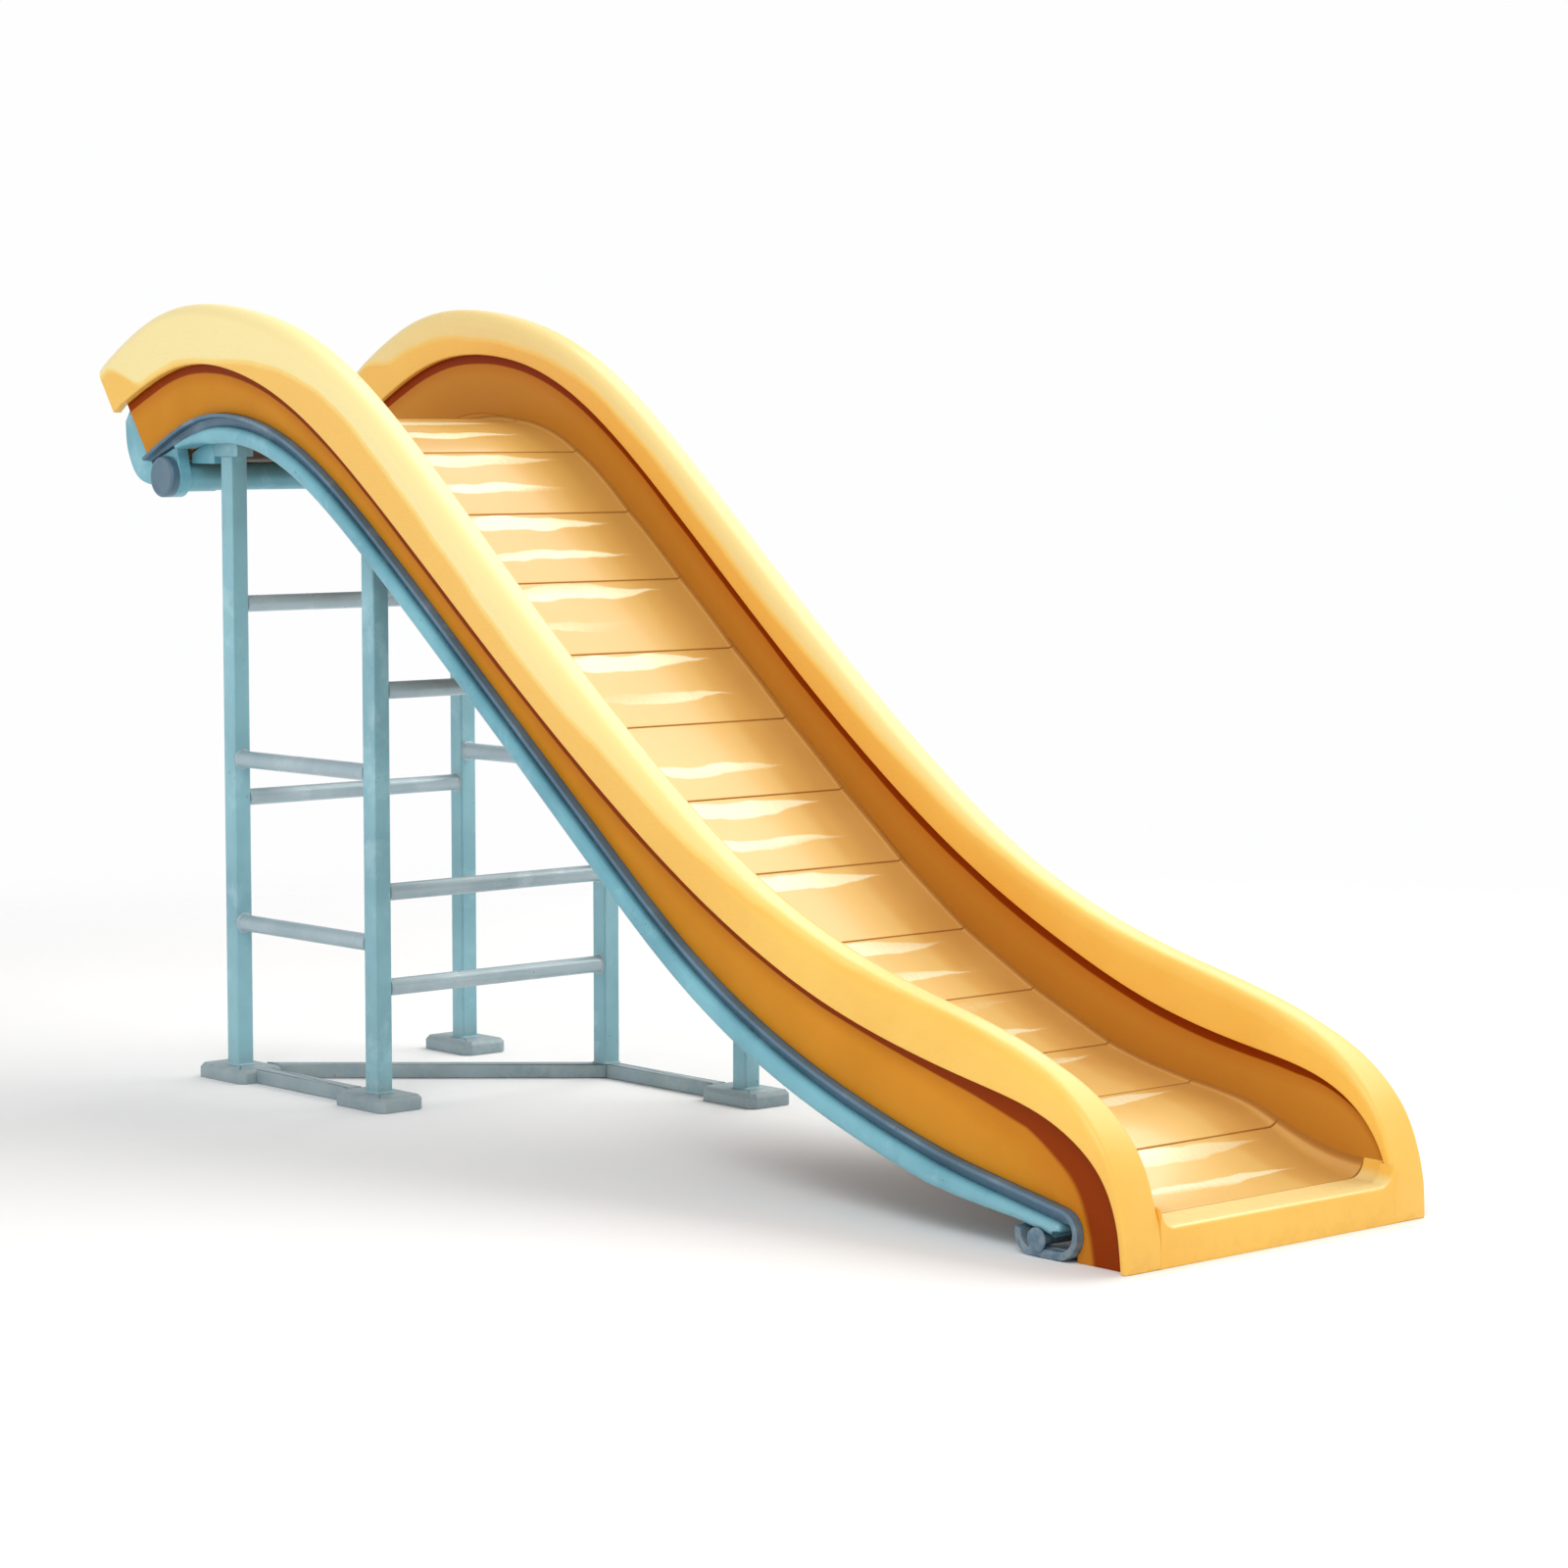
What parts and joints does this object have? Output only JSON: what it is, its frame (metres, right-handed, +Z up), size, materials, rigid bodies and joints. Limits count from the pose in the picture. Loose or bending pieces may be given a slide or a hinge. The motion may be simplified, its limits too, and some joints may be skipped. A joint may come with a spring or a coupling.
{
  "type": "wave slide",
  "caption": "Freestanding playground slide with a double-curved yellow trough, bullnose side rims and a flat exit, carried on curved steel rails and a square-post frame with round rungs.",
  "frame": {"origin": "middle of the bounding box in plan, at floor level", "axes": "+X downhill from the high end to the exit, +Y towards the rider's left when facing downhill, +Z up"},
  "size_m": [3.3204, 0.82, 1.7641],
  "materials": {
    "moulded_yellow": "smooth moulded, slight gloss",
    "painted_steel": "powder coated, blue grey",
    "rung_steel": "powder coated, light grey, worn by hands and feet",
    "foot_steel": "matt powder coat, dusty near the ground"
  },
  "bodies": {
    "root": {"side_rim_right": "moulded_yellow", "side_rim_left": "moulded_yellow", "side_wall_right": "moulded_yellow", "side_wall_left": "moulded_yellow", "bed_panel_01": "moulded_yellow", "bed_panel_02": "moulded_yellow", "bed_panel_03": "moulded_yellow", "bed_panel_04": "moulded_yellow", "bed_panel_05": "moulded_yellow", "bed_panel_06": "moulded_yellow", "bed_panel_07": "moulded_yellow", "bed_panel_08": "moulded_yellow", "bed_panel_09": "moulded_yellow", "bed_panel_10": "moulded_yellow", "bed_panel_11": "moulded_yellow", "bed_panel_12": "moulded_yellow", "bed_panel_13": "moulded_yellow", "bed_panel_14": "moulded_yellow", "bed_panel_15": "moulded_yellow", "exit_sill": "moulded_yellow", "rail_flange_right": "painted_steel", "rail_flange_left": "painted_steel", "rail_tube_right": "painted_steel", "rail_tube_left": "painted_steel", "rear_hook_right": "painted_steel", "rear_hook_left": "painted_steel", "rear_collar_right": "painted_steel", "rear_collar_left": "painted_steel", "rear_stub_right": "painted_steel", "rear_stub_left": "painted_steel", "rear_gusset_right": "painted_steel", "rear_gusset_left": "painted_steel", "rear_cross_tube": "painted_steel", "lower_tie_rod": "painted_steel", "middle_cross_tie": "painted_steel", "post_rear_right": "painted_steel", "post_rear_left": "painted_steel", "post_front_right": "painted_steel", "post_front_left": "painted_steel", "post_lower_left": "painted_steel", "post_saddle_right": "painted_steel", "post_saddle_left": "painted_steel", "rear_rung_upper": "rung_steel", "rear_rung_lower": "rung_steel", "front_rung_upper": "rung_steel", "front_rung_middle": "rung_steel", "front_rung_lower": "rung_steel", "side_rung_upper_right": "rung_steel", "side_rung_lower_right": "rung_steel", "side_rung_left": "rung_steel", "foot_pad_rear_right": "foot_steel", "foot_pad_front_right": "foot_steel", "foot_pad_rear_left": "foot_steel", "foot_pad_lower_left": "foot_steel", "base_tube_right": "foot_steel", "base_tube_left": "foot_steel", "base_tube_diagonal": "foot_steel"}
  },
  "joints": []
}
